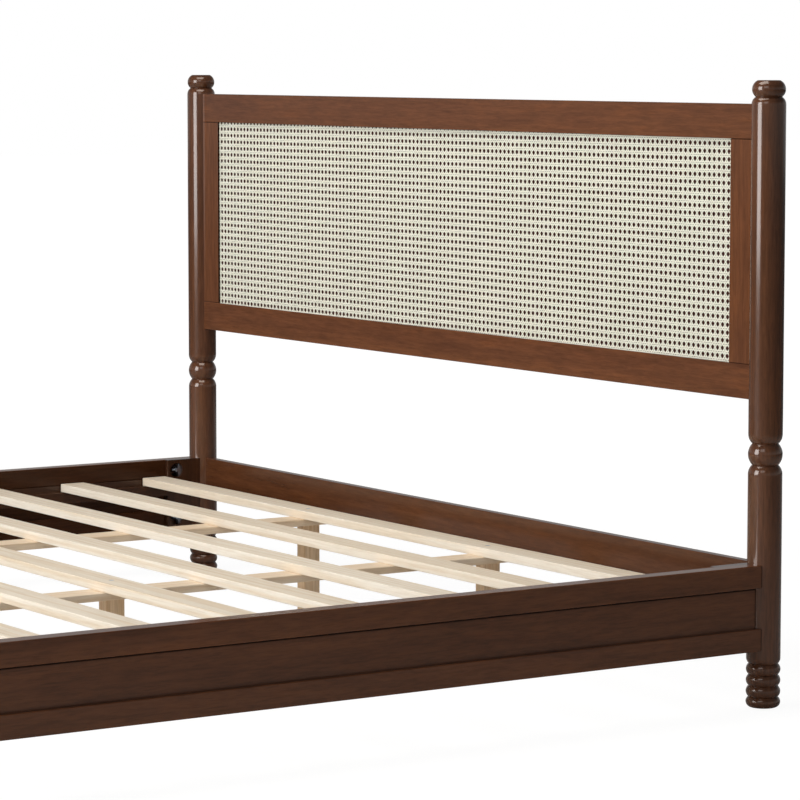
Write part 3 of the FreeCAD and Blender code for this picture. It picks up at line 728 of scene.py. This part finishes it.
def separate_boxes(piece):
    """Low and high corners of each separate solid of a piece, in a steady order."""
    shell = bmesh.new()
    shell.from_mesh(piece.data)
    waiting = set(shell.verts)
    boxes = []
    while waiting:
        front = [waiting.pop()]
        met = set(front)
        while front:
            vertex = front.pop()
            for edge in vertex.link_edges:
                other = edge.other_vert(vertex)
                if other not in met:
                    met.add(other)
                    front.append(other)
        waiting -= met
        low = Vector([min(vertex.co[axis] for vertex in met) for axis in range(3)])
        high = Vector([max(vertex.co[axis] for vertex in met) for axis in range(3)])
        boxes.append((low, high))
    shell.free()
    return sorted(boxes, key=lambda box: tuple(round(value, 4) for value in box[0]))


def eased_steel(node, name):
    """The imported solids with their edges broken, as turned and stamped steel has."""
    piece = merged_copy(node, name)
    ease = piece.modifiers.new("ease", "BEVEL")
    ease.width = STEEL_EASE
    ease.segments = EASE_STEPS
    ease.limit_method = "ANGLE"
    ease.angle_limit = EASED_SHARP
    apply_all(piece)
    only(piece)
    bpy.ops.object.shade_smooth_by_angle(angle=EASED_SHARP)
    place(piece, STEEL, "zinc_steel", node)


def one_thread(long, radius):
    """A threaded bar along Z from the origin."""
    nothing_selected()
    core = radius - THREAD_DEEP
    bpy.ops.mesh.primitive_circle_add(vertices=THREAD_SIDES, radius=core, fill_type="NOTHING")
    bar = bpy.context.object
    edit(bar)
    root = core / radius
    for swell in (1 / root, root):
        bpy.ops.mesh.extrude_region_move(TRANSFORM_OT_translate={"value": (0, 0, THREAD_PITCH / 2)})
        bpy.ops.transform.resize(value=(swell, swell, 1))
    done()
    repeated(bar, Vector((0, 0, THREAD_PITCH)), int(long / THREAD_PITCH), True)
    edit(bar)
    bpy.ops.mesh.select_all(action="SELECT")
    bpy.ops.mesh.fill_holes(sides=0)
    bpy.ops.mesh.normals_make_consistent(inside=False)
    done()
    only(bar)
    bpy.ops.object.shade_smooth_by_angle(angle=THREAD_SHARP)
    return bar


def copies_at(name, pattern, placings):
    """One piece from copies of a pattern piece at the given matrices, in place of the pattern."""
    whole = bmesh.new()
    for placing in placings:
        copy = pattern.data.copy()
        copy.transform(placing)
        whole.from_mesh(copy)
        bpy.data.meshes.remove(copy)
    mesh = bpy.data.meshes.new(name)
    whole.to_mesh(mesh)
    whole.free()
    bpy.data.objects.remove(pattern)
    piece = bpy.data.objects.new(name, mesh)
    bpy.context.scene.collection.objects.link(piece)
    return piece


def threaded_studs():
    """Threaded bars in place of the plain rods."""
    guide = merged_copy("rail_studs", "stud_guide")
    boxes = separate_boxes(guide)
    bpy.data.objects.remove(guide)
    sides = sorted(boxes[0][1] - boxes[0][0])
    bar = one_thread(sides[2], max(sides[:2]) / 2)
    spare = (sides[2] - int(sides[2] / THREAD_PITCH) * THREAD_PITCH) / 2
    placings = []
    for low, high in boxes:
        size = high - low
        along = Vector([1.0 if side == max(size) else 0.0 for side in size])
        start = (low + high) / 2 - along * (max(size) / 2 - spare)
        turn = Vector((0, 0, 1)).rotation_difference(along).to_matrix().to_4x4()
        placings.append(Matrix.Translation(start) @ turn)
    studs = copies_at("threaded_studs", bar, placings)
    place(studs, STEEL, "zinc_steel", "rail_studs")


def drive_cutter(head_radius):
    """A plus-shaped point that narrows downwards from the origin."""
    nothing_selected()
    bpy.ops.mesh.primitive_circle_add(vertices=SLOT_CORNERS, radius=1.0, fill_type="NGON")
    cutter = bpy.context.object
    arm = SLOT_REACH * head_radius
    half = SLOT_HALF * head_radius
    quarter = ((half, arm), (half, half), (arm, half))
    corners = []
    for _ in range(4):
        corners.extend(reversed(quarter))
        quarter = tuple((-up, across) for across, up in quarter)
    edit(cutter)
    bpy.ops.mesh.select_all(action="SELECT")
    shell = bmesh.from_edit_mesh(cutter.data)
    for vertex, (across, up) in zip(shell.verts, corners):
        vertex.co = (across, up, SLOT_DEEP * head_radius * SLOT_SPARE)
    bmesh.update_edit_mesh(cutter.data)
    drop = -SLOT_DEEP * head_radius * (1 + SLOT_SPARE)
    bpy.ops.mesh.extrude_region_move(TRANSFORM_OT_translate={"value": (0, 0, drop)})
    bpy.ops.transform.resize(value=(SLOT_TIP, SLOT_TIP, 1))
    bpy.ops.mesh.select_all(action="SELECT")
    bpy.ops.mesh.normals_make_consistent(inside=False)
    done()
    return cutter


def cross_slotted(node, name, facing_of):
    """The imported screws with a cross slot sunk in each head, which faces as facing_of says."""
    piece = merged_copy(node, name)
    placings = []
    for index, (low, high) in enumerate(separate_boxes(piece)):
        facing = facing_of(low)
        size = high - low
        head_radius = min(size) / 2
        reach = facing * (size.dot(Vector([abs(part) for part in facing])) / 2)
        turn = facing.to_track_quat("Z", "Y").to_matrix().to_4x4()
        twist = Matrix.Rotation(index * SLOT_TURN, 4, "Z")
        placings.append(Matrix.Translation((low + high) / 2 + reach) @ turn @ twist)
    slots = copies_at(name + "_slots", drive_cutter(head_radius), placings)
    sunk = piece.modifiers.new("slots", "BOOLEAN")
    sunk.operation = "DIFFERENCE"
    sunk.object = slots
    sunk.solver = "EXACT"
    apply_all(piece)
    bpy.data.objects.remove(slots)
    only(piece)
    bpy.ops.object.shade_smooth_by_angle(angle=SLOT_SHARP)
    place(piece, STEEL, "zinc_steel", node)


def steel_parts():
    threaded_studs()
    eased_steel("rail_nuts", "chamfered_nuts")
    eased_steel("half_moon_washers", "eased_washers")
    cross_slotted("leg_screws", "leg_screws_slotted", lambda low: Vector((0, 0, 1)))
    cross_slotted("beam_screws", "beam_screws_slotted", lambda low: Vector((0, 0, -1)))
    cross_slotted(
        "ledger_screws", "ledger_screws_slotted",
        lambda low: Vector((1.0 if low.x < 0 else -1.0, 0, 0)),
    )


# Floor, light and camera


def mixed(tree, amount, plain, shown):
    node = add(tree, "ShaderNodeMixShader")
    joined(tree, amount, node.inputs[0])
    joined(tree, plain, node.inputs[1])
    joined(tree, shown, node.inputs[2])
    return node.outputs[0]


def mixed_by_ray(tree, plain, glossy, shown):
    """Shows one shader to camera and see-through rays, one to glossy rays and one to the rest."""
    path = add(tree, "ShaderNodeLightPath")
    either = add(tree, "ShaderNodeMath", operation="MAXIMUM")
    joined(tree, path.outputs["Is Camera Ray"], either.inputs[0])
    joined(tree, path.outputs["Is Transmission Ray"], either.inputs[1])
    unseen = mixed(tree, path.outputs["Is Glossy Ray"], plain, glossy)
    return mixed(tree, either.outputs[0], unseen, shown)


def matt_white(tree, tone):
    node = add(tree, "ShaderNodeBsdfDiffuse", {"Color": (tone, tone, tone, 1.0)})
    return node.outputs[0]


def white_floor():
    nothing_selected()
    bpy.ops.mesh.primitive_plane_add(size=FLOOR_SPAN, location=(0, 0, 0))
    floor = bpy.context.object
    floor.name = "studio_floor"
    finish = bpy.data.materials.new("studio_white")
    finish.use_nodes = True
    tree = finish.node_tree
    tree.nodes.clear()
    away = add(tree, "ShaderNodeVectorMath", operation="LENGTH")
    joined(tree, own_place(tree), away.inputs[0])
    rise = mapped(tree, away.outputs["Value"], FLOOR_GLOW_NEAR, FLOOR_GLOW_FAR, FLOOR_NEAR, FLOOR_FAR)
    glow = add(tree, "ShaderNodeEmission")
    joined(tree, rise, glow, "Strength")
    seen = add(tree, "ShaderNodeAddShader")
    joined(tree, matt_white(tree, FLOOR_SEEN_TONE), seen.inputs[0])
    joined(tree, glow.outputs[0], seen.inputs[1])
    lit = matt_white(tree, FLOOR_TONE)
    mirrored = matt_white(tree, FLOOR_MIRRORED_TONE)
    out = add(tree, "ShaderNodeOutputMaterial")
    joined(tree, mixed_by_ray(tree, lit, mirrored, seen.outputs[0]), out, "Surface")
    floor.data.materials.append(finish)


def sky_light(tree, strength):
    sockets = {"Color": (1.0, 1.0, 1.0, 1.0), "Strength": strength}
    return add(tree, "ShaderNodeBackground", sockets)


def sky_gloss(tree):
    """What gloss shows: a pale band above the horizon that darkens upwards."""
    where = add(tree, "ShaderNodeTexCoord")
    apart = add(tree, "ShaderNodeSeparateXYZ")
    joined(tree, where.outputs["Generated"], apart, "Vector")
    fall = mapped(tree, apart.outputs["Z"], BACKDROP_GLOSSY, BACKDROP_GLOSSY_HIGH, *GLOSSY_FALL)
    sky = sky_light(tree, BACKDROP_GLOSSY)
    joined(tree, fall, sky, "Strength")
    return sky


def white_backdrop():
    world = bpy.data.worlds.new("studio_world")
    bpy.context.scene.world = world
    world.use_nodes = True
    tree = world.node_tree
    tree.nodes.clear()
    skies = (sky_light(tree, BACKDROP_FILL), sky_gloss(tree), sky_light(tree, BACKDROP_WHITE))
    out = add(tree, "ShaderNodeOutputWorld")
    joined(tree, mixed_by_ray(tree, *(sky.outputs[0] for sky in skies)), out, "Surface")


def softbox(name, centre, aim, size, radiance, colour, mirrored):
    lamp = bpy.data.lights.new(name, "AREA")
    lamp.shape = "RECTANGLE"
    lamp.size, lamp.size_y = size
    lamp.energy = radiance * SOFTBOX_WATTS * size[0] * size[1]
    lamp.color = colour
    stand = bpy.data.objects.new(name, lamp)
    stand.location = centre
    stand.rotation_euler = (Vector(aim) - Vector(centre)).to_track_quat("-Z", "Y").to_euler()
    stand.visible_glossy = mirrored
    bpy.context.scene.collection.objects.link(stand)


def studio():
    white_floor()
    white_backdrop()
    for name, settings in SOFTBOXES.items():
        softbox(name, **settings)


def photo_camera():
    scene = bpy.context.scene
    lens = bpy.data.cameras.new("photo_camera")
    lens.lens = LENS_MM
    lens.sensor_width = SENSOR_MM
    camera = bpy.data.objects.new("photo_camera", lens)
    camera.location = CAMERA_PLACE
    camera.rotation_euler = (math.radians(90) - CAMERA_DIP, 0, CAMERA_TURN)
    scene.collection.objects.link(camera)
    scene.camera = camera
    scene.view_settings.view_transform = "Standard"


finish_nodes()
woven_cane()
steel_parts()
studio()
photo_camera()
